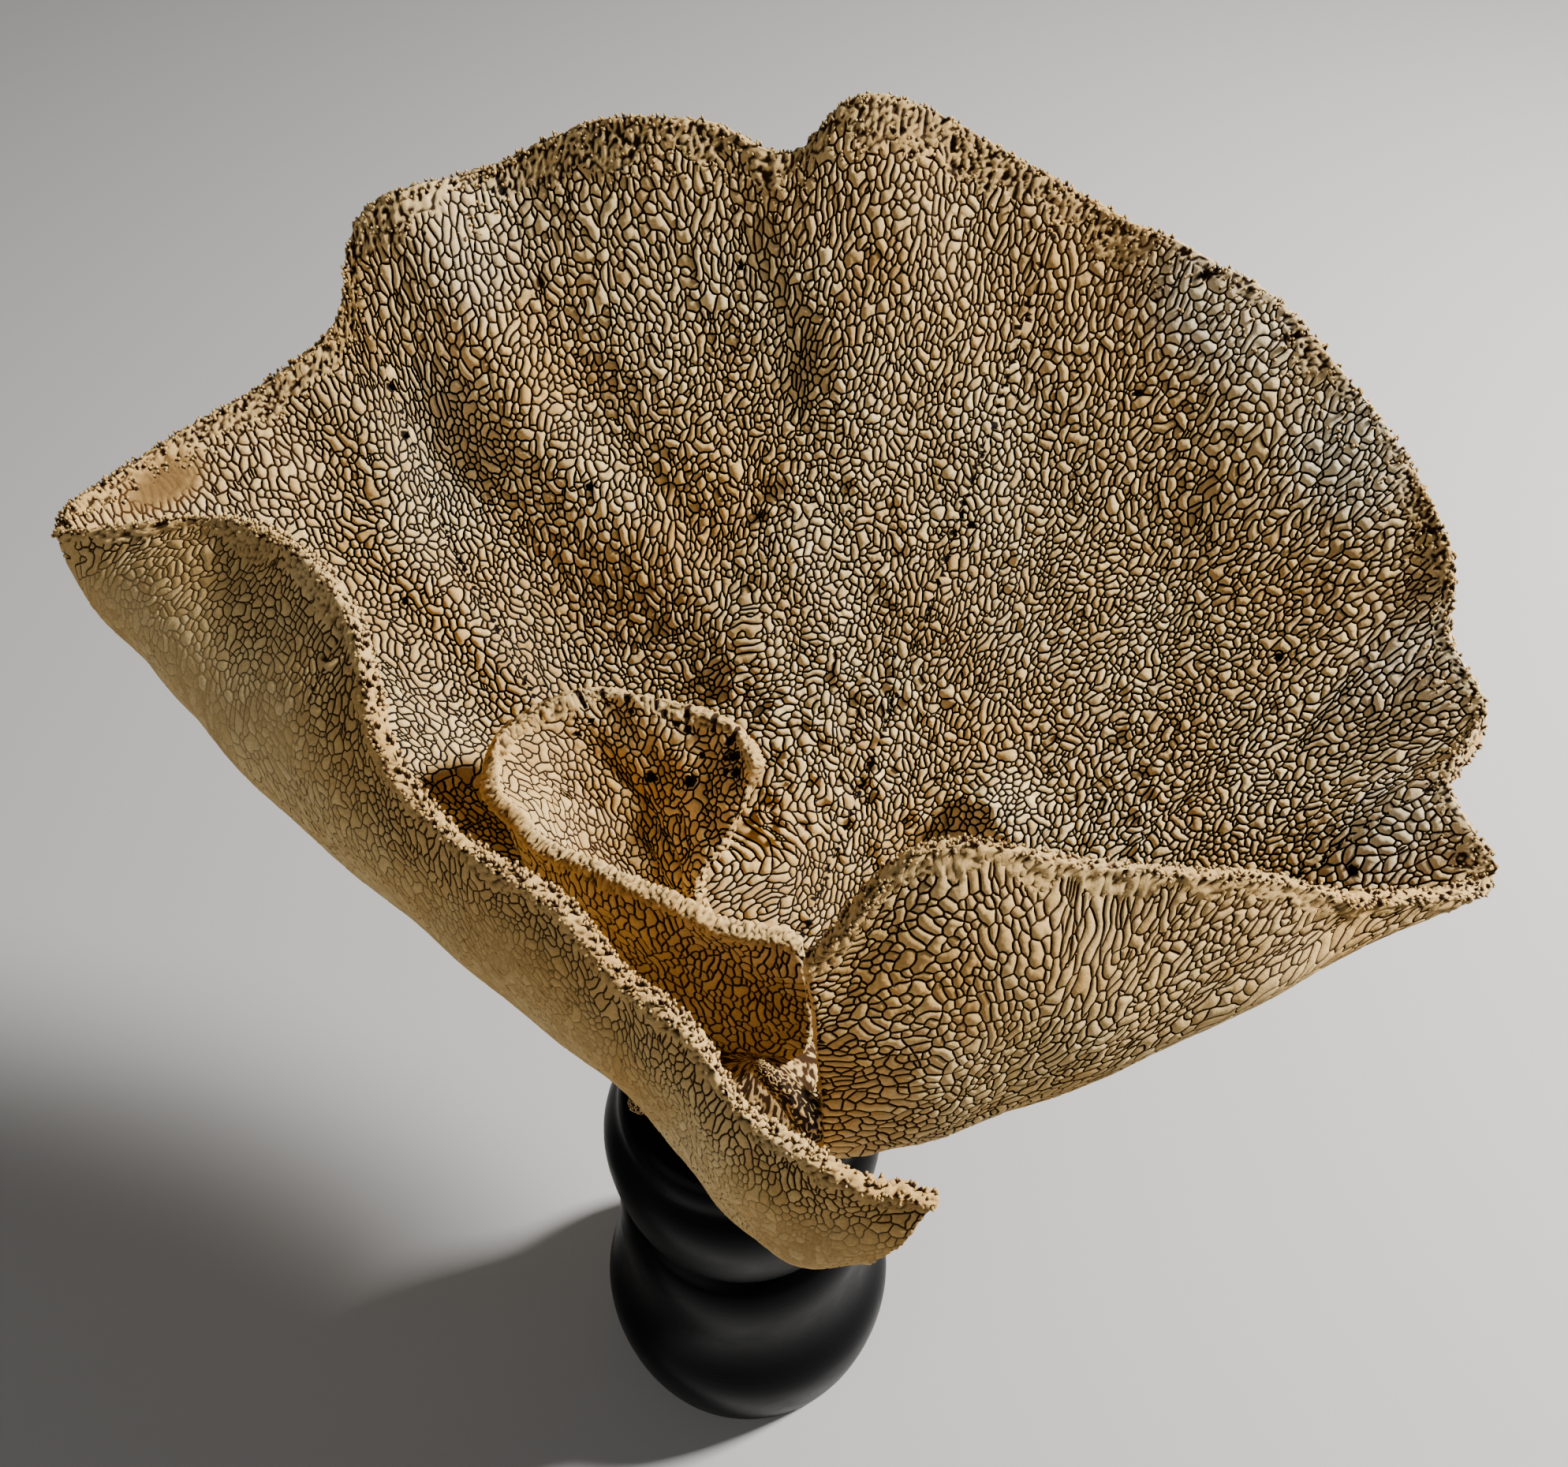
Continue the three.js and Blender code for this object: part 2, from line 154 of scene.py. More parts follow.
class Sheet:
    """A sheet's mid-surface as tables over u (ribs) and v (0 at the foot, 1 at the rim)."""

    PER_RIB = 32
    UP = 160
    EVEN_AT = 0.8  # the share up the sheet at which its columns are evenly spaced

    def __init__(self, root, ribs, notches, pleats, waves, lumps, wall):
        self.last = len(ribs) - 1
        self.wall = wall
        turn = np.radians(np.linspace(root["from"], root["to"], len(ribs)))
        foot_x = root["x"] + root["radius"] * np.cos(turn)
        foot_y = root["y"] + root["radius"] * np.sin(turn)
        foot = np.stack([foot_x, foot_y, 0 * turn + root["height"]], 1)
        rings = np.concatenate([foot[:, None], np.array(ribs, float)], 1)
        self.u = np.linspace(0, self.last, self.last * self.PER_RIB + 1)
        self.v = np.linspace(0, 1, self.UP + 1)
        rows = spline(rings, self.u)
        notch = notch_at(notches, self.u)
        points = np.stack([self.rib(row, self.v - self.v**3 * n / RIB_LENGTH) for row, n in zip(rows, notch)])
        out = np.zeros(points.shape[:2])
        for line, width, rise in pleats:
            far = np.full(out.shape, 1e9)
            ends = [self.at(points, np.array([u]), np.array([v]))[0] for u, v in line]
            for a, b in zip(ends, ends[1:]):
                along = np.clip(((points - a) @ (b - a)) / ((b - a) @ (b - a)), 0, 1)
                far = np.minimum(far, np.linalg.norm(points - a - along[..., None] * (b - a), axis=2))
            out -= rise * np.exp(-((far / width) ** 2))
        for height, along, up, start in waves:
            out += height * self.v * np.sin(2 * np.pi * (along * self.u[:, None] + up * self.v + start))
        self.points = points + self.normals_of(points) * out[..., None]
        self.normals = self.normals_of(self.points)
        self.rimward = unit(self.points[:, -1] - self.points[:, -3])
        self.lumps = np.zeros(out.shape)
        for u, v, width, rise in lumps:
            far = np.linalg.norm(self.points - self.spot(u, v), axis=2)
            self.lumps += rise * np.exp(-((far / width) ** 2))
        steps = np.linalg.norm(np.diff(self.points, axis=0), axis=2)
        self.ring = steps.sum(0)
        even = np.concatenate([[0], np.cumsum(steps[:, int(self.EVEN_AT * self.UP)])])
        self.t = even / even[-1]
        rib_steps = np.linalg.norm(np.diff(self.points, axis=1), axis=2).mean(0)
        self.climb = np.concatenate([[0], np.cumsum(rib_steps)])

    @staticmethod
    def rib(row, v):
        inside = spline(row, 3 * np.clip(v, 0, 1))
        end = spline(row, np.array([3.0, 2.97]))
        return inside + (end[0] - end[1]) * (np.maximum(v - 1, 0) / 0.01)[:, None]

    @staticmethod
    def normals_of(points):
        return unit(np.cross(np.gradient(points, axis=1), np.gradient(points, axis=0)))

    def at(self, table, u, v):
        """A table's values at (u, v), read straight between its rows."""
        x = np.clip(u, 0, self.last) * self.PER_RIB
        y = np.clip(v, 0, 1) * self.UP
        i = np.minimum(x.astype(int), table.shape[0] - 2)
        j = np.minimum(y.astype(int), table.shape[1] - 2)
        shape = (-1,) + (1,) * (table.ndim - 2)
        a, b = (x - i).reshape(shape), (y - j).reshape(shape)
        low = table[i, j] * (1 - a) + table[i + 1, j] * a
        high = table[i, j + 1] * (1 - a) + table[i + 1, j + 1] * a
        return low * (1 - b) + high * b

    def spot(self, u, v):
        """One place on the mid-surface."""
        return self.at(self.points, np.array([float(u)]), np.array([float(v)]))[0]


def notch_at(notches, u):
    ribs, falls = np.array(notches, float).T
    i = np.clip(np.searchsorted(ribs, u, "right") - 1, 0, len(ribs) - 2)
    s = smoothstep(ribs[i], ribs[i + 1], u)
    return falls[i] * (1 - s) + falls[i + 1] * s


# The pattern of cells and grooves

# The pattern is drawn on a square of PATCH pixels a side, PIXEL mm each, with a groove every PITCH or so.
PIXEL = 0.15
PATCH = 1440
PITCH = 1.5 / PIXEL
AROUND = [(0, 1), (0, -1), (1, 0), (-1, 0)]
DIAGONAL = [(1, 1), (1, -1), (-1, 1), (-1, -1)]


def filtered(f, gain):
    return np.fft.irfft2(np.fft.rfft2(f) * gain, s=f.shape).astype(np.float32)


def beside(f, step):
    return np.roll(f, step, (0, 1))


def spread(own, inside, turns):
    """Lets each label grow over the unlabelled places inside."""
    for turn in range(turns):
        new = own
        for step in AROUND + (DIAGONAL if turn % 2 else []):
            new = np.where((new == 0) & inside, beside(own, step), new)
        own = new
    return own


class Cells:
    """A repeating patch of short worm-like cells parted by narrow grooves, grown from noise."""

    ROUNDS = 6
    BAND = 0.4  # how far the grooves' spacing may stray, as a share of it
    GAIN = 3
    BIAS, BIAS_DRIFT = 0.12, 0.05  # how much wider the grooves are than the tops at first
    FIRST_SEEDS = 0.5
    FIRST_TURNS, REST_TURNS, FILL_TURNS = 15, 26, 9
    CLOUD, LINE, FLANK = 5.0, 0.15, 0.34  # softness in mm of the slow noise, the lines and their flanks

    def __init__(self, seed):
        rng = np.random.default_rng(seed)
        size = (PATCH, PATCH)
        k = np.hypot(np.fft.fftfreq(PATCH)[:, None], np.fft.rfftfreq(PATCH)[None]).astype(np.float32)

        def blur(mm):
            return np.exp(-2 * (np.pi * k * mm / PIXEL) ** 2)

        f = rng.standard_normal(size).astype(np.float32)
        slow = filtered(rng.standard_normal(size), blur(self.CLOUD))
        self.slow = np.clip(slow / slow.std(), -2, 2) / 2
        bias = self.BIAS + self.BIAS_DRIFT * self.slow
        for _ in range(self.ROUNDS):
            f = filtered(f, np.exp(-(((k * PITCH - 1) / self.BAND) ** 2)))
            f = np.tanh(self.GAIN * (f / f.std() - bias))
        inside = filtered(f, np.exp(-((k * PITCH / 2.2) ** 2))) > 0
        soft = filtered(f, np.exp(-((k * PITCH / 1.6) ** 2)))
        tops = inside.copy()
        for step in AROUND + DIAGONAL:
            tops &= soft >= beside(soft, step)
        label = rng.random(size, dtype=np.float32) + 0.01
        first = tops & (rng.random(size) < self.FIRST_SEEDS)
        own = spread(np.where(first, label, 0), inside, self.FIRST_TURNS)
        own = spread(np.where(tops & (own == 0), label, own), inside, self.REST_TURNS)
        self.own = own = spread(own, np.ones(size, bool), self.FILL_TURNS)
        edge = (own != beside(own, (0, 1))) | (own != beside(own, (1, 0))) | (own == 0)

        def lines(mm):
            drawn = filtered(edge, blur(mm))
            return drawn / np.median(drawn[edge])

        self.groove, self.flank = lines(self.LINE), lines(self.FLANK)

    def read(self, table, x, y):
        """A table's values at places x, y in mm, read straight between its pixels."""
        x, y = x / PIXEL, y / PIXEL
        i, j = np.floor(y).astype(int), np.floor(x).astype(int)
        a, b = y - i, x - j
        i0, j0, i1, j1 = i % PATCH, j % PATCH, (i + 1) % PATCH, (j + 1) % PATCH
        left = table[i0, j0] * (1 - a) + table[i1, j0] * a
        right = table[i0, j1] * (1 - a) + table[i1, j1] * a
        return left * (1 - b) + right * b

    def of_cell(self, x, y):
        """The number between 0 and 1 of the cell at each place."""
        return self.own[np.floor(y / PIXEL).astype(int) % PATCH, np.floor(x / PIXEL).astype(int) % PATCH]

# Laying the pattern on a face of a sheet


class Layout:
    """Where a face's points fall on the flat pattern. The sheet is flattened with little distortion; stretch
    and side draw the pattern out along the ribs and along the rim, and its lines are bent a little."""

    EVERY = 8
    TURNS = 500
    PUSH = 1.6
    BEND, BEND_SIZE = 2.2, 30
    WOBBLE, WOBBLE_SIZE = 0.2, 3.4

    def __init__(self, sheet, cells, stretch, side, turn, shift):
        self.sheet, self.cells = sheet, cells
        u, v = sheet.u[:: self.EVERY], sheet.v[:: self.EVERY]
        points = sheet.points[:: self.EVERY, :: self.EVERY]
        up = unit(np.gradient(points, axis=1))
        round_ = unit(np.cross(up, sheet.normals[:: self.EVERY, :: self.EVERY]))
        squeeze_up = 1 / stretch(u[:, None], v[None] + 0 * u[:, None])
        squeeze_round = 1 / side(u[:, None] + 0 * v[None])
        rho = sheet.climb[:: self.EVERY] * squeeze_up.mean()
        sweep = sheet.ring[-1] * squeeze_round.mean() / rho[-1]
        angle = turn + sweep * (sheet.t[:: self.EVERY] - 0.5)
        rho = rho + sheet.ring[0] / sweep
        flat = np.stack([rho * np.cos(angle)[:, None], rho * np.sin(angle)[:, None]], 2)
        ends = [
            ((slice(None, -1), slice(None)), (slice(1, None), slice(None))),
            ((slice(None), slice(None, -1)), (slice(None), slice(1, None))),
            ((slice(None, -1), slice(None, -1)), (slice(1, None), slice(1, None))),
            ((slice(None, -1), slice(1, None)), (slice(1, None), slice(None, -1))),
        ]

        def mean(table, a, b):
            return (table[a] + table[b]) / 2

        goals = []
        for a, b in ends:
            step = points[b] - points[a]
            along = (step * mean(round_, a, b)).sum(2) * mean(squeeze_round, a, b)
            upward = (step * mean(up, a, b)).sum(2) * mean(squeeze_up, a, b)
            goals.append(np.hypot(along, upward))
        for _ in range(self.TURNS):
            push, met = np.zeros(flat.shape), np.zeros(flat.shape[:2])
            for (a, b), goal in zip(ends, goals):
                step = flat[b] - flat[a]
                length = np.maximum(np.linalg.norm(step, axis=2), 1e-6)
                pull = step * ((length - goal) / length / 2)[..., None]
                push[a] += pull
                push[b] -= pull
                met[a] += 1
                met[b] += 1
            flat = flat + self.PUSH * push / met[..., None]
        rows = spline(flat, np.arange(len(sheet.u)) / self.EVERY)
        flat = spline(rows.swapaxes(0, 1), np.arange(len(sheet.v)) / self.EVERY).swapaxes(0, 1)
        self.flat = flat + (shift, 0.0)
        self.by_v = np.gradient(flat, sheet.v, axis=1)

    def place(self, t, v, past):
        """Places on the pattern of points at (t, v), or past the rim by some mm."""
        u = np.interp(t, self.sheet.t, self.sheet.u)
        x, z = (self.sheet.at(self.flat, u, v) + unit(self.sheet.at(self.by_v, u, v)) * past[:, None]).T
        bend = [noise_at(self.cells, x + k, z - k, self.BEND_SIZE) * self.BEND for k in (0.0, 57.0)]
        wobble = [noise_at(self.cells, x + k, z - k, self.WOBBLE_SIZE) * self.WOBBLE for k in (11.0, 83.0)]
        return x + bend[0] + wobble[0], z + bend[1] + wobble[1]


# A sheet is laid out flat first. There x is FLAT times the share t round the cup, and y is FLAT times a share
# that runs up the inner face to 1, over the rim to RIM_OVER and down the outer face to ALL_ROUND. Columns
# END_STEP apart close a sector past its ends, and rows SHUT past the foot close it below.
FLAT = 1000.0
MID_RIM = 1.05
RIM_OVER = 1.1
ALL_ROUND = 2.1
END_STEP = 0.125
SHUT = 5.0
RIM_ROWS = 6

# The rim stands out by RIM_SHARE of half the wall, and the pattern runs on over it by RIM_ROUND mm a radian.
RIM_SHARE = 0.25
RIM_ROUND = 1.3

# The cells end at this share of the way up, a little ragged, and further out where the rim is pale.
CELLS_END = 0.968
CELLS_END_PALE = 0.03
CELLS_END_RAGGED = 0.022

# The lines between the cells: half their width, their depth, and how far the tops rise and differ, in mm.
GROOVE = 0.32
LINE_DEPTH = 0.5
TOP_RISE = 0.14
TOP_SPREAD = 0.3
PIT_DEPTH = 0.45
# PIT_DARK is painted shade in the sunk pit cells.
PIT_DARK = 0.13


def strip(bm, xs, ys, finer):
    """A flat strip of faces over columns xs and rows ys; the edges on the rows in finer are cut in two."""
    made = bmesh.ops.create_grid(bm, x_segments=len(xs) - 1, y_segments=len(ys) - 1, size=0.5)["verts"]
    for vert in made:
        i = round((vert.co.x + 0.5) * (len(xs) - 1))
        j = round((vert.co.y + 0.5) * (len(ys) - 1))
        vert.co = (xs[i], ys[j], 0)
    edges = {e for v in made for e in v.link_edges if v.co.y in finer}
    cut = []
    for e in edges:
        a, b = (v.co for v in e.verts)
        if a.y == b.y and abs(a.x - b.x) > END_STEP * 1.01:
            cut.append(e)
    if cut:
        bmesh.ops.subdivide_edges(bm, edges=cut, cuts=1)


def flat_sector(sheet, t0, t1, columns, inner, outer):
    """One sector laid out flat. A band of inner or outer is (v, v, how many columns make one, row height)."""
    bm = bmesh.new()
    before = [t0 * FLAT - END_STEP * k for k in ([1] if t0 else [3, 2, 1])]
    after = [t1 * FLAT + END_STEP * k for k in ([1] if t1 < 1 else [1, 2, 3])]
    here = (sheet.t >= t0) & (sheet.t <= t1)
    tall = np.linalg.norm(np.diff(sheet.points[here], axis=1), axis=2).sum(1).mean()
    bands = list(inner) + [(1.0, RIM_OVER, 1, None)]
    bands += [(ALL_ROUND - high, ALL_ROUND - low, each, height) for low, high, each, height in outer]
    bands.sort()
    for n, (low, high, each, height) in enumerate(bands):
        if height is None:
            rows = RIM_ROWS
        else:
            rows = max(2, int(round((high - low) * tall / height)))
        ys = [round(float(y), 3) for y in np.linspace(low * FLAT, high * FLAT, rows + 1)]
        if n == 0:
            ys = [-SHUT] + ys
        if n == len(bands) - 1:
            ys = ys + [ALL_ROUND * FLAT + SHUT]
        number = columns // each
        xs = before + [t0 * FLAT + (t1 - t0) * FLAT * i / number for i in range(number + 1)] + after
        meets = ((ys[0], n - 1), (ys[-1], n + 1))
        finer = {y for y, m in meets if 0 <= m < len(bands) and bands[m][2] < each}
        strip(bm, xs, ys, finer)
    bmesh.ops.remove_doubles(bm, verts=bm.verts, dist=0.02)
    # The wall that closes a sector doesn't tilt the shading of its faces.
    for e in bm.edges:
        if any(all(abs(v.co.x - x * FLAT) < 1e-3 for v in e.verts) for x in (t0, t1) if 0 < x < 1):
            e.smooth = False
    return bm


def face_share(y):
    """The share v from the foot to the rim at flat places y, on either face."""
    return np.where(y < MID_RIM, y, ALL_ROUND - y)


def join_cells(bm, cells, faces, t0, t1):
    """Joins the flat faces in one cell of the pattern, and evens out the lines between the cells."""
    label = bm.faces.layers.float.new("cell")
    middle = np.array([f.calc_center_median()[:2] for f in bm.faces]) / FLAT
    t, y = middle.T
    v = face_share(y)
    own = np.full(len(t), -1.0)
    for face, on in ((faces["inner"], y < MID_RIM), (faces["outer"], y >= MID_RIM)):
        on = on & (t > t0) & (t < t1) & (v > 0)
        u = np.interp(t[on], face["layout"].sheet.t, face["layout"].sheet.u)
        x, z = face["layout"].place(t[on], v[on], 0 * u)
        end = CELLS_END + CELLS_END_PALE * patches(u, v[on], face["pale"], face["wide"])
        end = end + CELLS_END_RAGGED * noise_at(cells, x, z, 5)
        own[on] = np.where(v[on] < end, cells.of_cell(x, z), -1)
    for f, value in zip(bm.faces, own):
        f[label] = value
    inner = []
    for e in bm.edges:
        sides = e.link_faces
        if len(sides) == 2 and sides[0][label] > 0 and sides[0][label] == sides[1][label]:
            inner.append(e)
    bmesh.ops.dissolve_edges(bm, edges=inner, use_verts=False)
    low, high = t0 * FLAT + 1e-3, t1 * FLAT - 1e-3
    loose = [v for v in bm.verts if low < v.co.x < high and all(f[label] > 0 for f in v.link_faces)]
    smooth = {"factor": 0.5, "use_axis_x": True, "use_axis_y": True}
    bmesh.ops.smooth_vert(bm, verts=loose, **smooth)
    gone = set()
    for v in loose:
        if len(v.link_edges) == 2 and not any(e.other_vert(v) in gone for e in v.link_edges):
            gone.add(v)
    bmesh.ops.dissolve_verts(bm, verts=list(gone))
    bmesh.ops.smooth_vert(bm, verts=[v for v in loose if v.is_valid], **smooth)
    return label


def grown(sheet, cells, faces, flat, t0, t1, extras):
    """Bends flat points into the sheet, in mm. Gives them with their way out, their own rise and growth
    values, hints for the cells (line strength, pits, painted shade of the hollow), and what they are raised
    and darkened by (painted shade in holes and splits)."""
    t = np.clip(flat[:, 0] / FLAT, t0, t1)
    past = np.maximum(t0 * FLAT - flat[:, 0], flat[:, 0] - t1 * FLAT)
    closing = np.round(np.maximum(past, 0) / END_STEP)
    free = np.where(flat[:, 0] < t0 * FLAT, t0 == 0, t1 == 1)
    lean = np.where(free, closing * np.pi / 6, np.where(closing > 0, np.pi / 2, 0))
    y = flat[:, 1] / FLAT
    shut = (y < 0) | (y > ALL_ROUND)
    v = np.clip(face_share(y), 0, 1)
    over = np.clip((y - 1) / (RIM_OVER - 1), 0, 1) * np.pi
    height, growth, hints = np.zeros(len(t)), np.zeros((len(t), 4)), np.zeros((len(t), 3))
    for face, on in ((faces["inner"], y < MID_RIM), (faces["outer"], y >= MID_RIM)):
        past = np.minimum(over[on], np.pi - over[on]) * RIM_ROUND
        relief = relief_of(face, cells, t[on], v[on], past)
        height[on], growth[on], hints[on] = relief
    u = np.interp(t, sheet.t, sheet.u)
    middle, normal = sheet.at(sheet.points, u, v), unit(sheet.at(sheet.normals, u, v))
    step = 1 / sheet.PER_RIB
    rimward = unit(sheet.at(sheet.rimward[:, None].repeat(2, 1), u, 0 * v))
    ends = np.where(t < 0.5, 0, sheet.last), np.where(t < 0.5, step, sheet.last - step)
    side = unit(sheet.at(sheet.points, ends[0], v) - sheet.at(sheet.points, ends[1], v))
    across = -normal * np.cos(over)[:, None]
    half = sheet.wall / 2
    thick = np.where(shut, 0, np.cos(lean))
    up = np.sin(over) * thick
    edge = side * (np.sin(lean) * free)[:, None]
    out = across * thick[:, None] + rimward * up[:, None] + edge
    body = across * (thick * half)[:, None] + (rimward * up[:, None] + edge) * half * RIM_SHARE
    fixed = shut | ((lean > 1.5) & ~free)
    out[fixed] = 0
    lift = np.where(over < 1, sheet.at(sheet.lumps, u, v), 0) * (thick > 0.01)
    sunk = np.zeros(len(t))
    for extra in extras:
        more, dark = extra(u, v, over, middle)
        lift = lift + more * (thick > 0.01)
        sunk = np.maximum(sunk, dark)
    return middle + body, out, height, growth, hints, lift, sunk


def clad(name, bm, sheet, cells, faces, t0, t1, extras, material):
    """A sheet's sector with a raised top on every cell, sunk lines between them, and a crumbly rim."""
    label = join_cells(bm, cells, faces, t0, t1)
    flat = np.array([v.co[:] for v in bm.verts])
    base, out, height, growth, hints, lift, sunk = grown(sheet, cells, faces, flat, t0, t1, extras)
    at_end = (np.abs(flat[:, 0] - t0 * FLAT) < 1e-3) | (np.abs(flat[:, 0] - t1 * FLAT) < 1e-3)
    old = list(bm.verts)
    own = np.zeros(len(old))
    for n, (vert, place) in enumerate(zip(old, base)):
        around = [f[label] for f in vert.link_faces if f[label] > 0]
        if around and at_end[n]:
            own[n] = around[0] if len(around) == 1 else -1
        elif around and len(around) == len(vert.link_faces):
            own[n] = -1
        vert.co = place
    number = {vert: n for n, vert in enumerate(old)}
    bm.normal_update()
    tops = [f for f in bm.faces if f[label] > 0]
    bmesh.ops.inset_individual(bm, faces=tops, thickness=GROOVE, depth=0, use_even_offset=False)
    ring = [v for v in bm.verts if v not in number]
    meets = [[e.other_vert(v) for e in v.link_edges] for v in ring]
    source = np.array([next(number[other] for other in others if other in number) for others in meets])
    of_ring = np.array([max(f[label] for f in v.link_faces) for v in ring])
    tops = [f for f in bm.faces if all(v not in number for v in f.verts)]
    place = np.concatenate([base, np.array([v.co[:] for v in ring])])
    same = at_end[source]
    place[len(old):][same] = base[source[same]]
    of_ring[same] = own[source[same]]
    take = np.concatenate([np.arange(len(old)), source])
    own = np.concatenate([own, of_ring])
    growth, height, out = growth[take], height[take], out[take]
    strong, pits, hollow_shade = hints[take].T
    line, top = own < 0, own > 0
    top_height = strong * (TOP_RISE + TOP_SPREAD * (own - 0.5))
    height = np.where(line, -LINE_DEPTH * strong, np.where(top, top_height, height))
    pit = top & (own > 1.01 - pits)
    tall = top & (own < 0.01 + 3 * pits)
    height = height + np.where(pit, -PIT_DEPTH, 0) + np.where(tall, 0.4 + 8 * (own % 0.05), 0)
    mottle = growth[:, 1]
    growth[:, 1] = np.where(top, own * 0.6 + 0.2 + 0.25 * mottle, 0.5 + 0.25 * mottle)
    # Lines darken with the strength of the relief: partly their own brown, partly painted shade in them.
    line_dark = np.clip(1.25 * strong - 0.25, 0.04, 1)
    growth[:, 0] = np.where(line, line_dark, np.where(top, PIT_DARK * pit, growth[:, 0]))
    # Holes, splits and the hollow at the left tip darken here as painted shade.
    growth[:, 0] = np.maximum(growth[:, 0], np.maximum(sunk[take], hollow_shade))
    points = place + out * (height + lift[take])[:, None]
    bmesh.ops.triangulate(bm, faces=tops, ngon_method="BEAUTY")
    bm.verts.index_update()
    order = np.zeros(len(points), int)
    order[[v.index for v in old]] = np.arange(len(old))
    order[[v.index for v in ring]] = len(old) + np.arange(len(ring))
    return piece(name, bm, points[order], growth[order], material)


def piece(name, bm, points, growth, material):
    """Makes a piece from a mesh whose vertices go to points (mm), closed where vertices meet."""
    mesh = bpy.data.meshes.new(name)
    bm.to_mesh(mesh)
    bm.free()
    mesh.vertices.foreach_set("co", np.clip(points * MM, *BOX).astype(np.float32).ravel())
    layer = mesh.attributes.new("growth", "FLOAT_COLOR", "POINT")
    layer.data.foreach_set("color", growth.astype(np.float32).ravel())
    whole = bmesh.new()
    whole.from_mesh(mesh)
    bmesh.ops.remove_doubles(whole, verts=whole.verts, dist=2e-6)
    bmesh.ops.recalc_face_normals(whole, faces=whole.faces)
    whole.to_mesh(mesh)
    whole.free()
    mesh.polygons.foreach_set("use_smooth", np.ones(len(mesh.polygons), bool))
    mesh.update()
    obj = bpy.data.objects.new(name, mesh)
    bpy.context.collection.objects.link(obj)
    mesh.materials.append(material)
    return obj


# What the faces look like close up


def noise_at(cells, x, z, size):
    """Soft noise of about -1 to 1, in patches about size mm across."""
    as_drawn = 12.0
    grow = as_drawn / size
    return cells.read(cells.slow, x * grow + 31.0, z * grow + 17.0)


def patches(u, v, spots, wide):
    """How far each point lies in soft round spots of (rib, share, width in ribs, strength)."""
    out = np.zeros(len(u))
    for rib, share, width, strength in spots:
        far = ((u - rib) / width) ** 2 + ((v - share) / (width * wide)) ** 2
        out = np.maximum(out, strength * np.exp(-(far**2)))
    return out


def relief_of(face, cells, t, v, past):
    """Rise, growth values (dark, tone, ochre, pale) and hints (line strength, pits, painted shade of the
    hollow) on a face.
    """
    sheet, layout = face["layout"].sheet, face["layout"]
    u = np.interp(t, sheet.t, sheet.u)
    x, z = layout.place(t, v, past)
    broad, mid = noise_at(cells, x, z, 42), noise_at(cells, x, z, 14)
    calm = patches(u, v, face["calm"], face["wide"])
    pale = patches(u, v, face["pale"], face["wide"]) * np.clip(0.8 + 0.5 * mid, 0, 1)
    strong = face["strong"](u, v) * (1 + 0.2 * mid) * (1 - 0.75 * calm) * (1 - 0.35 * pale)
    # The rim is crumbly: the same pattern, drawn smaller, gives its pores and grains.
    pore_x, pore_z = x * 1.25 + 50, z * 1.25
    pore = np.clip(cells.read(cells.groove, pore_x, pore_z), 0, 1)
    body = 1 - np.clip(cells.read(cells.flank, pore_x, pore_z), 0, 1.1)
    comb = (0.75 * body * (0.6 + 0.5 * cells.of_cell(pore_x, pore_z)) - 0.4 * pore) * (1 - 0.6 * pale)
    # The calm patch's ochre and darkening are painted shade of the hollow at the left tip.
    ochre = face["ochre"](u, v) * np.clip(0.6 + 0.3 * mid + 0.3 * broad, 0, 1.2) + 0.8 * calm
    # The gaps between the rim's pores are darkened as painted shade.
    dark = np.maximum(face["gaps"](u) * pore * (1 - calm), 0.2 * calm)
    growth = np.stack([dark, mid, np.clip(ochre - 0.6 * pale, 0, 1), pale], 1)
    return comb, growth, np.stack([strong, face["pits"](u, v), 0.2 * calm], 1)


def bumps(sheet, rng, number, us, vs, heights, widths):
    """Small upstanding points scattered over part of the inner face."""
    spots = []
    for _ in range(number):
        u, v = rng.uniform(*us), rng.uniform(*vs)
        spots.append((sheet.spot(u, v), rng.uniform(*heights), rng.uniform(*widths)))

    def extra(u, v, over, middle):
        out = np.zeros(len(u))
        here = (u > us[0] - 1) & (u < us[1] + 1) & (v > vs[0] - 0.05) & (v < vs[1] + 0.05)
        near = np.flatnonzero((over < 1) & here)
        for at, height, width in spots:
            close = near[np.abs(middle[near] - at).max(1) < 3 * width]
            far = np.linalg.norm(middle[close] - at, axis=1)
            out[close] = np.maximum(out[close], height * np.exp(-((far / width) ** 2)))
        return out, 0 * out

    return extra


def scattered(rng, number, us, vs, radii):
    """Places for holes, as (rib, share, radius in mm)."""
    return [(rng.uniform(*us), rng.uniform(*vs), rng.uniform(*radii)) for _ in range(number)]


def holes(sheet, spots, depth):
    """Round holes sunk in the inner face and darkened as painted shade, of (rib, share, radius in mm)."""
    places = [(sheet.spot(u, v), r) for u, v, r in spots]

    def extra(u, v, over, middle):
        out, dark = np.zeros(len(u)), np.zeros(len(u))
        for at, r in places:
            close = np.flatnonzero((over < 1) & (np.abs(middle - at).max(1) < 2.5 * r))
            into = np.exp(-((np.linalg.norm(middle[close] - at, axis=1) / r) ** 4))
            out[close] -= depth * into
            dark[close] = np.maximum(dark[close], into)
        return out, dark

    return extra


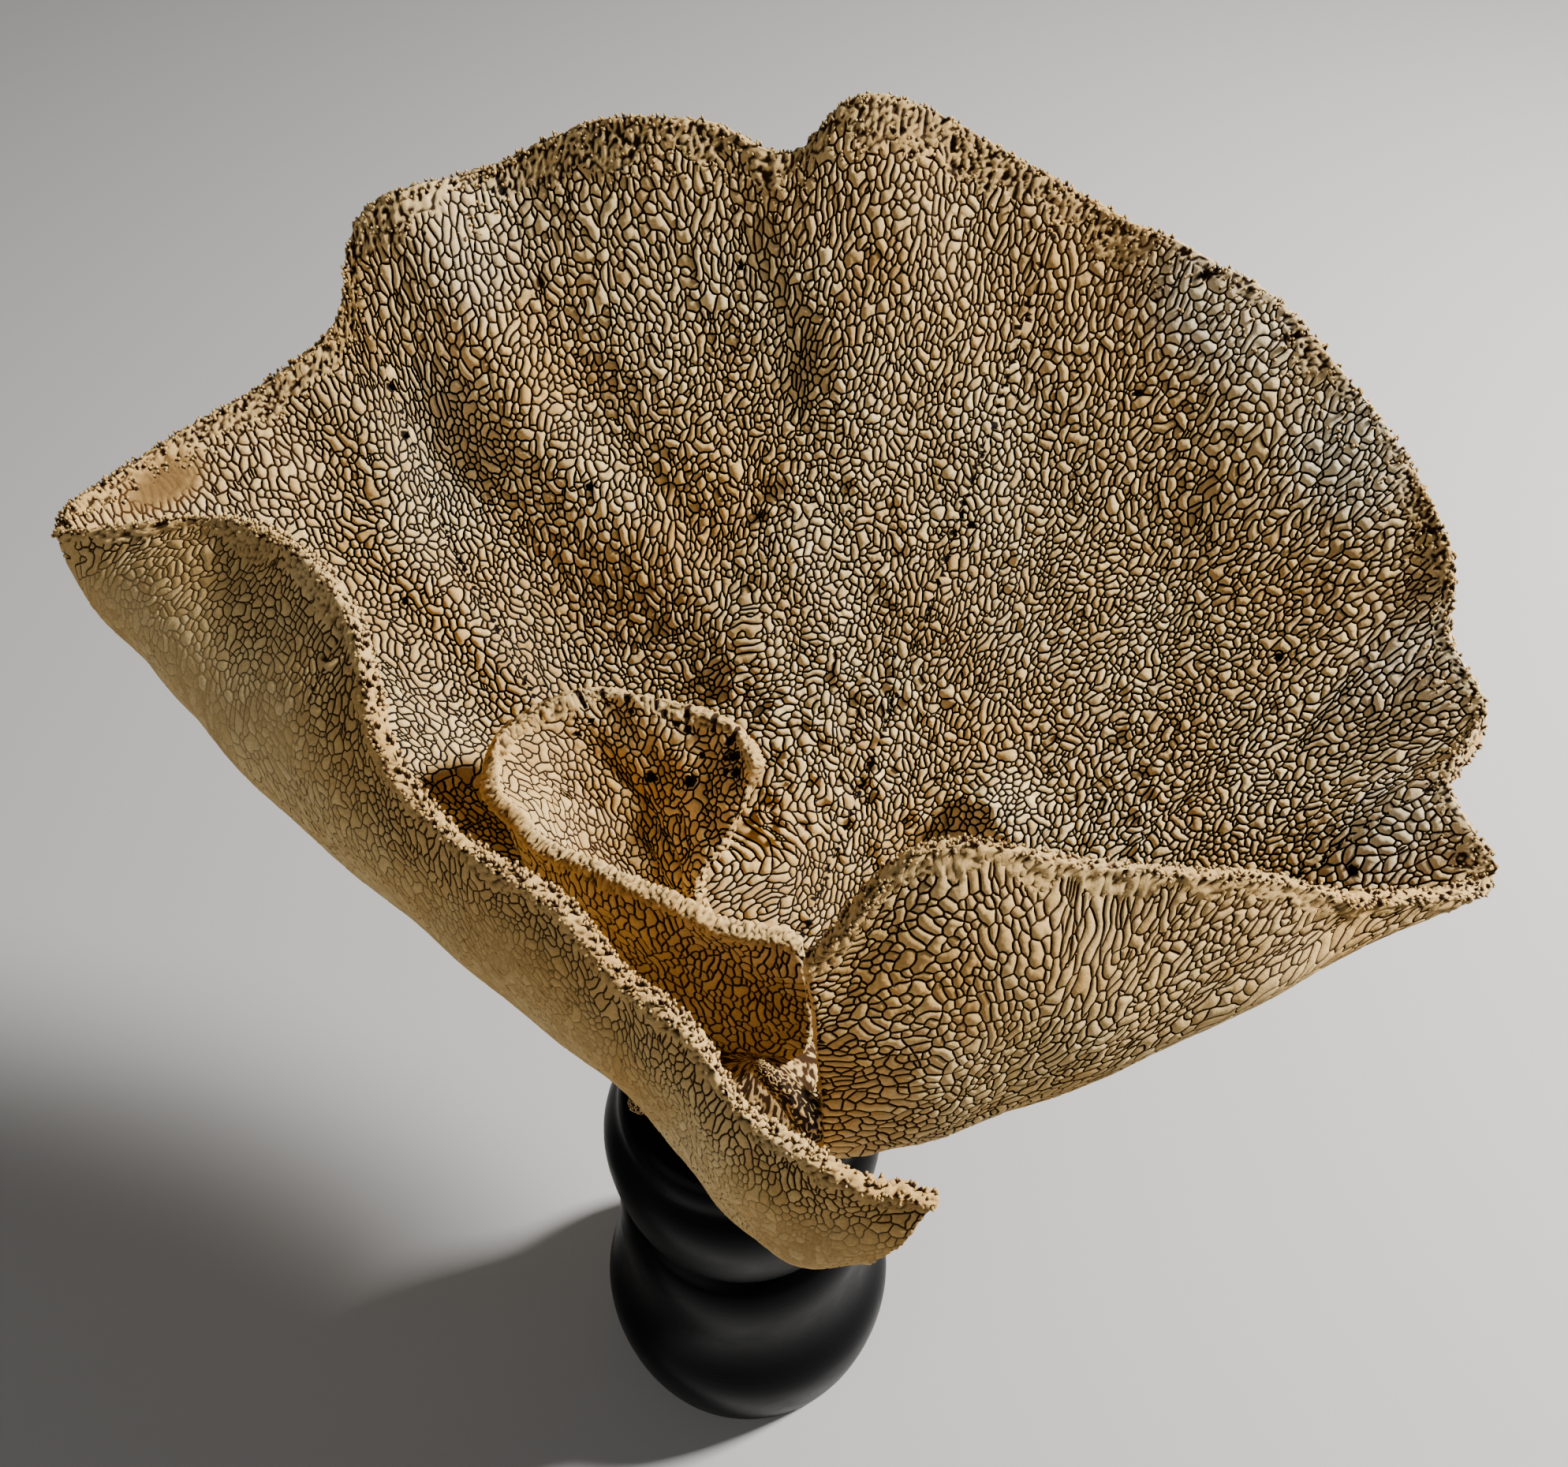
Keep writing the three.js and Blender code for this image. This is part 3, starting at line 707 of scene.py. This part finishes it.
def splits(sheet, lines, depth):
    """Narrow splits from the rim down, darkened as painted shade, each of two (rib, share) ends and a half
    width.
    """
    ends = [(sheet.spot(*a), sheet.spot(*b), width) for a, b, width in lines]

    def extra(u, v, over, middle):
        out, dark = np.zeros(len(u)), np.zeros(len(u))
        for a, b, width in ends:
            along = np.clip((middle - a) @ (b - a) / ((b - a) @ (b - a)), 0, 1)
            far = np.linalg.norm(middle - a - along[:, None] * (b - a), axis=1)
            into = np.exp(-((far / (width * (1.1 - along))) ** 2)) * (over < 1.7)
            out -= depth * into
            dark = np.maximum(dark, into)
        return out, dark

    return extra


def spikes(name, sheet, material, seed, count, share, turn, length, radius):
    """Small blunt points along the rim, leaning out of it, within ranges of v and of the turn across it."""
    rng = random.Random(seed)
    bm = bmesh.new()
    bmesh.ops.create_cone(bm, cap_ends=True, segments=4, radius1=1, radius2=0.5, depth=1)
    one = np.array([v.co[:] for v in bm.verts]) + (0, 0, 0.5)
    faces = [[v.index for v in f.verts] for f in bm.faces]
    bm.free()
    t = np.array([rng.random() for _ in range(count)])
    u = np.interp(t, sheet.t, sheet.u)
    v = np.array([rng.uniform(*share) for _ in range(count)])
    over = np.radians([rng.uniform(*turn) for _ in range(count)])
    middle, normal = sheet.at(sheet.points, u, v), unit(sheet.at(sheet.normals, u, v))
    rimward = unit(sheet.at(sheet.rimward[:, None].repeat(2, 1), u, 0 * v))
    half = sheet.wall / 2
    aside = normal * (np.cos(over) * (half - 0.35))[:, None]
    foot = middle - aside + rimward * (np.sin(over) * half * RIM_SHARE * 0.7)[:, None]
    lean = np.array([[rng.gauss(0, 0.28) for _ in range(3)] for _ in range(count)])
    way = unit(-normal * (np.cos(over) * 0.8)[:, None] + rimward * (np.sin(over) + 0.55)[:, None] + lean)
    first = unit(np.cross(way, [0.31, 0.42, 0.85]))
    second = np.cross(way, first)
    tall = np.array([rng.uniform(*length) for _ in range(count)])[:, None, None]
    broad = np.array([rng.uniform(*radius) for _ in range(count)])[:, None, None]
    across = one[:, :1] * first[:, None] + one[:, 1:2] * second[:, None]
    points = foot[:, None] + broad * across + tall * one[:, 2:] * way[:, None]
    mesh = bpy.data.meshes.new(name)
    every = [[i + n * len(one) for i in f] for n in range(count) for f in faces]
    mesh.from_pydata(np.clip(points * MM, *BOX).reshape(-1, 3), [], every)
    up, same = one[:, 2], 0 * one[:, 2]
    # Each point darkens towards its foot: painted shade between the points.
    growth = np.tile(np.stack([0.55 - 0.55 * up, 0.5 + same, 0.45 + same, same], 1), (count, 1))
    growth[:, 1] = np.repeat([rng.random() for _ in range(count)], len(one))
    layer = mesh.attributes.new("growth", "FLOAT_COLOR", "POINT")
    layer.data.foreach_set("color", growth.astype(np.float32).ravel())
    mesh.polygons.foreach_set("use_smooth", np.ones(len(mesh.polygons), bool))
    mesh.materials.append(material)
    mesh.update()
    obj = bpy.data.objects.new(name, mesh)
    bpy.context.collection.objects.link(obj)
    return obj


def limb(name, cells, material, spine, thick, around, along, strong, tone):
    """A round limb along a spine of points, thick at each; its cells run on over both ends."""
    bm = bmesh.new()
    bmesh.ops.create_grid(bm, x_segments=around, y_segments=along, size=0.5)
    flat = np.array([v.co[:] for v in bm.verts]) + 0.5
    turn, share = flat[:, 0] * 2 * np.pi, flat[:, 1]
    spine, thick = np.array(spine, float), np.array(thick, float)[:, None]
    place = share * (len(spine) - 1)
    middle, radius = spline(spine, place), np.maximum(spline(thick, place)[:, 0], 0)
    ahead = spline(spine, np.minimum(place + 0.02, len(spine) - 1.001))
    way = unit(ahead - spline(spine, np.maximum(place - 0.02, 0)))
    first = unit(np.cross(way, (0.3, 0.8, 0.1)))
    out = first * np.cos(turn)[:, None] + np.cross(way, first) * np.sin(turn)[:, None]
    length = np.linalg.norm(np.diff(spine, axis=0), axis=1).sum()
    reach = 4 + share * (length + 6)
    x, z = reach * np.cos(turn) + 20, reach * np.sin(turn) - 35
    groove, flank = np.clip(cells.read(cells.groove, x, z), 0, 1), cells.read(cells.flank, x, z)
    rise = strong * (0.2 - 0.25 * flank - 0.45 * groove + 0.3 * (cells.of_cell(x, z) - 0.5))
    from_middle = radius * (1 + 0.1 * noise_at(cells, x, z, 9)) + rise * np.minimum(radius, 1)
    points = middle + out * from_middle[:, None]
    one = np.ones(len(turn))
    # Its grooves darken with the strength of the relief: partly their own brown, partly painted shade in
    # them.
    growth = np.stack([groove * strong, cells.of_cell(x, z), tone * one, 0 * one], 1)
    return piece(name, bm, points, growth, material)


def turned(name, material, profile, steps, finer):
    """A piece turned on the lathe: its profile, made smoother, spun once round the axis."""
    profile = np.array(profile, float)
    smooth = spline(profile, np.linspace(0, len(profile) - 1.001, (len(profile) - 1) * finer + 1))
    bm = bmesh.new()
    outline = [(0, profile[0][1]), *smooth, (0, profile[-1][1])]
    line = [bm.verts.new((r * MM, 0, z * MM)) for r, z in outline]
    edges = [bm.edges.new(pair) for pair in zip(line, line[1:])]
    once_round = {"cent": (0, 0, 0), "axis": (0, 0, 1), "dvec": (0, 0, 0), "angle": 2 * math.pi}
    bmesh.ops.spin(bm, geom=line + edges, steps=steps, use_merge=True, **once_round)
    bmesh.ops.remove_doubles(bm, verts=bm.verts, dist=1e-6)
    bmesh.ops.recalc_face_normals(bm, faces=bm.faces)
    mesh = bpy.data.meshes.new(name)
    bm.to_mesh(mesh)
    bm.free()
    mesh.polygons.foreach_set("use_smooth", np.ones(len(mesh.polygons), bool))
    mesh.set_sharp_from_angle(angle=math.radians(38))
    obj = bpy.data.objects.new(name, mesh)
    bpy.context.collection.objects.link(obj)
    mesh.materials.append(material)
    return obj


# Materials


def colour(code):
    parts = [int(code[i : i + 2], 16) / 255 for i in (0, 2, 4)]
    return tuple(c / 12.92 if c <= 0.04045 else ((c + 0.055) / 1.055) ** 2.4 for c in parts) + (1.0,)


def add(tree, kind, inputs=None, **settings):
    """Adds a shader node with its settings, and its inputs as values or links."""
    made = tree.nodes.new("ShaderNode" + kind)
    for key, value in settings.items():
        setattr(made, key, value)
    for key, value in (inputs or {}).items():
        if isinstance(value, bpy.types.NodeSocket):
            tree.links.new(value, made.inputs[key])
        else:
            made.inputs[key].default_value = value
    return made


def mix(tree, share, first, second, blend="MIX"):
    made = add(tree, "Mix", {0: share, 6: first, 7: second}, data_type="RGBA", blend_type=blend)
    return made.outputs[2]


def fresh(name):
    material = bpy.data.materials.new(name)
    material.use_nodes = True
    material.node_tree.nodes.clear()
    return material, material.node_tree


def dried_sponge():
    """The matte, tan skeleton: paler cell tops, ochre towards the rim, grooves from brown to black, their
    black partly painted shade.
    """
    material, tree = fresh("dried sponge skeleton")
    place = add(tree, "TexCoord").outputs["Object"]
    grown_in = add(tree, "Attribute", attribute_name="growth")
    parts = add(tree, "SeparateColor", {0: grown_in.outputs["Color"]}).outputs
    dark, tone, ochre, pale = parts[0], parts[1], parts[2], grown_in.outputs["Alpha"]
    grain_size, cloud_size = 0.0006, 0.03
    fine = {"Vector": place, "Scale": 1 / grain_size, "Detail": 3.0, "Roughness": 0.6}
    grain = add(tree, "TexNoise", fine).outputs[0]
    cloud = add(tree, "TexNoise", {"Vector": place, "Scale": 1 / cloud_size, "Detail": 4.0}).outputs[0]
    shade = add(tree, "MapRange", {0: cloud, 1: 0.35, 2: 0.68}).outputs[0]
    top = mix(tree, tone, colour("bb9a62"), colour("f0d498"))
    top = mix(tree, shade, top, mix(tree, 1.0, top, colour("ecd6ae"), "MULTIPLY"))
    top = mix(tree, ochre, top, colour("bc975c"))
    top = mix(tree, pale, top, colour("d8c8a4"))
    speck = add(tree, "MapRange", {0: grain, 1: 0.3, 2: 0.7, 3: 0.78, 4: 1.12}).outputs[0]
    top = mix(tree, 1.0, top, speck, "MULTIPLY")
    # The dark channel mixes in this deep colour: the grooves' own brown, and painted shade in grooves, pits,
    # holes, splits, rim pores and the hollow at the left tip.
    deep = mix(tree, ochre, colour("0a0502"), colour("452a0c"))
    share = add(tree, "MapRange", {0: dark, 1: 0.03, 2: 0.27}, interpolation_type="SMOOTHSTEP").outputs[0]
    skin = mix(tree, share, top, deep)
    bump = add(tree, "Bump", {"Height": grain, "Strength": 0.35, "Distance": 0.00025}).outputs[0]
    matte = {"Base Color": skin, "Roughness": 0.92, "Specular IOR Level": 0.18, "Normal": bump}
    shader = add(tree, "BsdfPrincipled", matte)
    add(tree, "OutputMaterial", {0: shader.outputs[0]})
    return material


def black_lacquer():
    """Satin black lacquer over turned wood: soft highlights, with very faint turning lines."""
    material, tree = fresh("satin black lacquer over turned wood")
    place = add(tree, "TexCoord").outputs["Object"]
    height = add(tree, "SeparateXYZ", {0: place}).outputs[2]
    rings = add(tree, "CombineXYZ", {2: height}).outputs[0]
    line_size, wear_size = 0.0009, 0.014
    lines = add(tree, "TexNoise", {"Vector": rings, "Scale": 1 / line_size, "Detail": 2.0}).outputs[0]
    worn = {"Vector": place, "Scale": 1 / wear_size, "Detail": 5.0, "Roughness": 0.65}
    wear = add(tree, "TexNoise", worn).outputs[0]
    rough = add(tree, "MapRange", {0: wear, 1: 0.3, 2: 0.75, 3: 0.26, 4: 0.42}).outputs[0]
    bump = add(tree, "Bump", {"Height": lines, "Strength": 0.12, "Distance": 0.0002}).outputs[0]
    skin = mix(tree, wear, colour("030304"), colour("08090c"))
    satin = {"Base Color": skin, "Roughness": rough, "Specular IOR Level": 0.05, "Normal": bump}
    shader = add(tree, "BsdfPrincipled", satin)
    add(tree, "OutputMaterial", {0: shader.outputs[0]})
    return material


def pale_floor():
    """A plain pale matte floor."""
    material, tree = fresh("plain pale floor")
    matte = {"Base Color": colour("adaba8"), "Roughness": 0.9, "Specular IOR Level": 0.2}
    shader = add(tree, "BsdfPrincipled", matte)
    add(tree, "OutputMaterial", {0: shader.outputs[0]})
    return material


# The object

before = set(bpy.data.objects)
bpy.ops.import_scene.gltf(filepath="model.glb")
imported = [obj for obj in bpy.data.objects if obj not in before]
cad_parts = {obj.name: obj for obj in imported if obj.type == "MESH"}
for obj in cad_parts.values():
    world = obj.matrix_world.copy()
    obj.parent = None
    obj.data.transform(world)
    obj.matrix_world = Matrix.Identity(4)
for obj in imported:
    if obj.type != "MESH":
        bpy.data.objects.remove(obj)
low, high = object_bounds()
BOX = np.array([list(low), list(high)])

sponge = dried_sponge()
cells = Cells(7)

# Each face of a sheet has its layout, the strength of its lines, pale and calm patches of (rib, share, width
# in ribs, strength), how ochre it is, how many of its cells are pits, and how dark the gaps of its rim are.
# A calm patch smooths the cells, and its ochre and darkening are painted shade of a hollow.
PALE = [
    (19.35, 0.96, 0.42, 1.0), (20.15, 0.95, 0.42, 1.0), (22.2, 0.9, 0.9, 0.75), (23.8, 0.93, 0.9, 0.75),
    (13.7, 0.94, 0.45, 0.4), (13.0, 0.76, 0.5, 0.35),
]
SHADED_HOLLOW = [(9.88, 0.93, 0.36, 1.0)]
PLAIN = {"pale": [], "calm": [], "wide": 0.3, "pits": lambda u, v: 0 * v, "gaps": lambda u: 0.25 + 0 * u}
OUTER_RIBS = (8.5, 11.0, 22.0, 24.8, 28.6, 29.6)
OUTER_STRETCH = (0.35, 0.7, 0.7, 1.4, 1.4, -0.15)
OUTER_SIDE = (0.72, 1.7, 1.7, 0.82, 0.85, 1.7)


def even(u):
    return 1 + 0 * u


def outer_stretch(u, v):
    return 1 + np.interp(u, OUTER_RIBS, OUTER_STRETCH) * smoothstep(0.3, 0.75, v)


def outer_side(u):
    return np.interp(u, OUTER_RIBS, OUTER_SIDE)


cup = Sheet(CUP_ROOT, CUP_RIBS, RIM_NOTCHES, PLEATS, WAVES, LUMPS, WALL)
cup_inside = dict(
    PLAIN,
    layout=Layout(cup, cells, lambda u, v: 1 + 0.4 * smoothstep(0.6, 0.95, v), even, 0.4, 0.0),
    strong=lambda u, v: 0.85 + 0.3 * smoothstep(0.2, 0.5, v) - 0.15 * smoothstep(0.85, 1, v),
    pale=PALE,
    calm=SHADED_HOLLOW,
    wide=0.17,
    ochre=lambda u, v: smoothstep(0.72, 0.98, v) * 0.8 + 0.08,
    pits=lambda u, v: 0.016 * np.exp(-(((u - 18) / 3.2) ** 2 + ((v - 0.36) / 0.14) ** 2) ** 2),
    gaps=lambda u: 0.2 + 0.2 * smoothstep(8, 10, u) * (1 - smoothstep(24, 26, u)),
)
cup_outside = dict(
    PLAIN,
    layout=Layout(cup, cells, outer_stretch, outer_side, 2.1, 90.0),
    strong=lambda u, v: 0.34 + 0.34 * smoothstep(19, 25, u) + 0.25 * smoothstep(0.75, 0.98, v),
    ochre=lambda u, v: smoothstep(0.75, 1.0, v) * 0.5 + 0.35,
)

CUP_SPLITS = [
    ((19.2, 1.0), (19.0, 0.93), 0.6),
    ((19.65, 1.0), (19.5, 0.95), 0.5),
    ((20.9, 1.0), (20.7, 0.94), 0.5),
]
rng = random.Random(5)
cup_extras = [
    bumps(cup, rng, 90, (14.5, 24), (0.32, 0.62), (0.6, 1.8), (0.9, 1.6)),
    bumps(cup, rng, 45, (16, 20), (0.22, 0.42), (0.8, 2.2), (1.0, 2.0)),
    bumps(cup, rng, 3, (19.6, 20.2), (0.34, 0.39), (2.0, 3.0), (1.6, 2.4)),
    bumps(cup, rng, 2, (18.3, 18.6), (0.14, 0.17), (1.5, 2.2), (1.3, 1.8)),
    holes(cup, scattered(rng, 14, (8, 25), (0.5, 0.93), (0.5, 0.8)), 1.2),
    splits(cup, CUP_SPLITS, 1.8),
]

# Bands up a face, as (v, v, how many columns make one, row height in mm). COLUMNS / SECTORS divides by 8.
COLUMNS = 1200
SECTORS = 5
INNER_BANDS = [(0.0, 0.1, 8, 0.8), (0.1, 0.22, 4, 0.8), (0.22, 0.46, 2, 0.75), (0.46, 1.0, 1, 0.8)]
FRONT_OUTER = [(0.0, 0.15, 8, 0.9), (0.15, 0.35, 4, 0.75), (0.35, 0.62, 2, 0.7), (0.62, 1.0, 1, 0.7)]
BACK_OUTER = [(0.0, 0.15, 8, 1.0), (0.15, 0.4, 4, 0.9), (0.4, 0.94, 2, 1.0), (0.94, 1.0, 1, 0.9)]
FROND_COLUMNS = 304
FROND_BANDS = [(0.0, 0.15, 4, 0.65), (0.15, 0.5, 2, 0.65), (0.5, 1.0, 1, 0.65)]


def dress(obj, slot, *nodes):
    """Rides a piece on the one body and hides the solids it stands for; the finish it is given is not used.
    """
    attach(obj, "root")
    if nodes:
        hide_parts(*nodes)


for n in range(SECTORS):
    t0, t1 = n / SECTORS, (n + 1) / SECTORS
    outer_bands = FRONT_OUTER if n in (0, SECTORS - 1) else BACK_OUTER
    laid_out = flat_sector(cup, t0, t1, COLUMNS // SECTORS, INNER_BANDS, outer_bands)
    faces = {"inner": cup_inside, "outer": cup_outside}
    sector = clad("cup_sheet_%d" % (n + 1), laid_out, cup, cells, faces, t0, t1, cup_extras, sponge)
    dress(sector, "sponge", "sponge_cup")

frond = Sheet(FROND_ROOT, FROND_RIBS, [(0, 0), (9, 0)], [], WAVES, [], FROND_WALL)
frond_inside = dict(
    PLAIN,
    layout=Layout(frond, cells, lambda u, v: 1 + 0.2 * smoothstep(0.45, 0.95, v), even, 1.0, -70.0),
    strong=lambda u, v: 0.75 + 0 * v,
    ochre=lambda u, v: smoothstep(0.8, 1.0, v) * 0.2 + 0.6 * np.exp(-(((u - 4.6) / 1.0) ** 2)) + 0.1,
)
frond_outside = dict(
    PLAIN,
    layout=Layout(frond, cells, lambda u, v: 1.5 + 0 * v, lambda u: 0.9 + 0 * u, 1.0, -130.0),
    strong=lambda u, v: 0.9 + 0 * v,
    ochre=lambda u, v: 0.7 + 0 * v,
)
FROND_HOLES = [(7.75, 0.79, 1.0), (6.84, 0.76, 0.9), (8.4, 0.93, 0.9), (8.6, 0.9, 0.7), (8.2, 0.96, 0.8)]
frond_splits = [((6.0 + 0.37 * k, 1.0), (6.05 + 0.37 * k, 0.9 + 0.02 * (k % 3)), 0.3) for k in range(7)]
frond_extras = [
    holes(frond, FROND_HOLES, 1.3),
    holes(frond, scattered(rng, 8, (5.5, 8.7), (0.8, 0.97), (0.35, 0.6)), 1.0),
    splits(frond, frond_splits, 0.9),
]
faces = {"inner": frond_inside, "outer": frond_outside}
laid_out = flat_sector(frond, 0, 1, FROND_COLUMNS, FROND_BANDS, FROND_BANDS)
frond_sheet = clad("frond_sheet", laid_out, frond, cells, faces, 0, 1, frond_extras, sponge)
dress(frond_sheet, "sponge", "sponge_frond")

# The foot, the finger and the knob: each a spine of points, how thick it is at each, faces round and along
# it, the strength of its lines, and how ochre it is.
LIMBS = {
    "foot": (
        [(3, -3, STAND_TOP + rise) for rise in (0.4, 0.6, 2, 6, 10, 13, 14.8, 15.2)],
        (0, 12.6, 13, 13.2, 12.2, 8.6, 4, 0), 96, 44, 0.6, 0.5,
    ),
    "finger": (
        [
            (15, -20, 127), (15, -20, 129), (12, -20.8, 138), (8, -21.7, 147.5), (5.3, -22.4, 153.6),
            (4.7, -22.6, 156.2), (4.6, -22.6, 157),
        ],
        (0, 3.2, 3.0, 2.2, 1.6, 1.0, 0), 44, 70, 1.0, 0.2,
    ),
    "knob": (
        [
            (0, -5.5, 115.5), (-2, -6, 116), (-11, -8.5, 119), (-18, -10.5, 121.4), (-21, -11.3, 122.3),
            (-22.2, -11.6, 122.7),
        ],
        (0, 3.6, 3.2, 2.7, 1.9, 0), 48, 60, 0.7, 0.3,
    ),
}
for name, sizes in LIMBS.items():
    dress(limb(name, cells, sponge, *sizes), "sponge", "sponge_cup")

# Points on the rim: a seed, how many, and ranges of v, degrees across the rim, length and radius in mm.
POINTS = {
    "rim_points": (3, 3600, (0.99, 1.0), (-20, 200), (0.9, 1.6), (0.4, 0.62)),
    "inner_rim_points": (4, 1200, (0.935, 0.995), (-12, 12), (0.7, 1.3), (0.4, 0.6)),
}
for name, sizes in POINTS.items():
    dress(spikes(name, cup, sponge, *sizes), "sponge")

dress(turned("turned_stand", black_lacquer(), STAND_PROFILE, 96, 2), "lacquer", "stand")

# Floor, light and camera

bpy.ops.mesh.primitive_plane_add(size=6, location=(0, 0, -0.0005))
floor = bpy.context.object
floor.data.materials.append(pale_floor())
floor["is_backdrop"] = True


def lamp(name, place, aim, size, power):
    data = bpy.data.lights.new(name, "AREA")
    data.size = size
    data.energy = power
    obj = bpy.data.objects.new(name, data)
    obj.location = place
    obj.rotation_euler = (Vector(aim) - Vector(place)).to_track_quat("-Z", "Y").to_euler()
    bpy.context.collection.objects.link(obj)


lamp("key from the right", (0.85, 0.24, 0.72), (0.0, 0.05, 0.17), 0.14, 41)
lamp("fill from the front left", (-0.8, -0.8, 0.8), (0, 0, 0.15), 1.0, 4.5)
world = bpy.data.worlds.new("soft room")
world.use_nodes = True
world.node_tree.nodes["Background"].inputs[0].default_value = colour("dfe1e4")
world.node_tree.nodes["Background"].inputs[1].default_value = 0.11
bpy.context.scene.world = world

# The camera looks down on the sponge as in the photograph. Its focal length is in the photograph's pixels.
PHOTO_WIDTH = 1988
FOCAL_LENGTH = 2000
LOOKS_DOWN = 48
camera = bpy.data.cameras.new("view of the photograph")
camera.sensor_width = 36.0
camera.lens = camera.sensor_width * FOCAL_LENGTH / PHOTO_WIDTH
camera.clip_start = 0.01
view = bpy.data.objects.new("view of the photograph", camera)
view.location = (0.009, -0.167, 0.405)
view.rotation_euler = (math.radians(90 - LOOKS_DOWN), 0, 0)
bpy.context.collection.objects.link(view)
bpy.context.scene.camera = view

low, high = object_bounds()
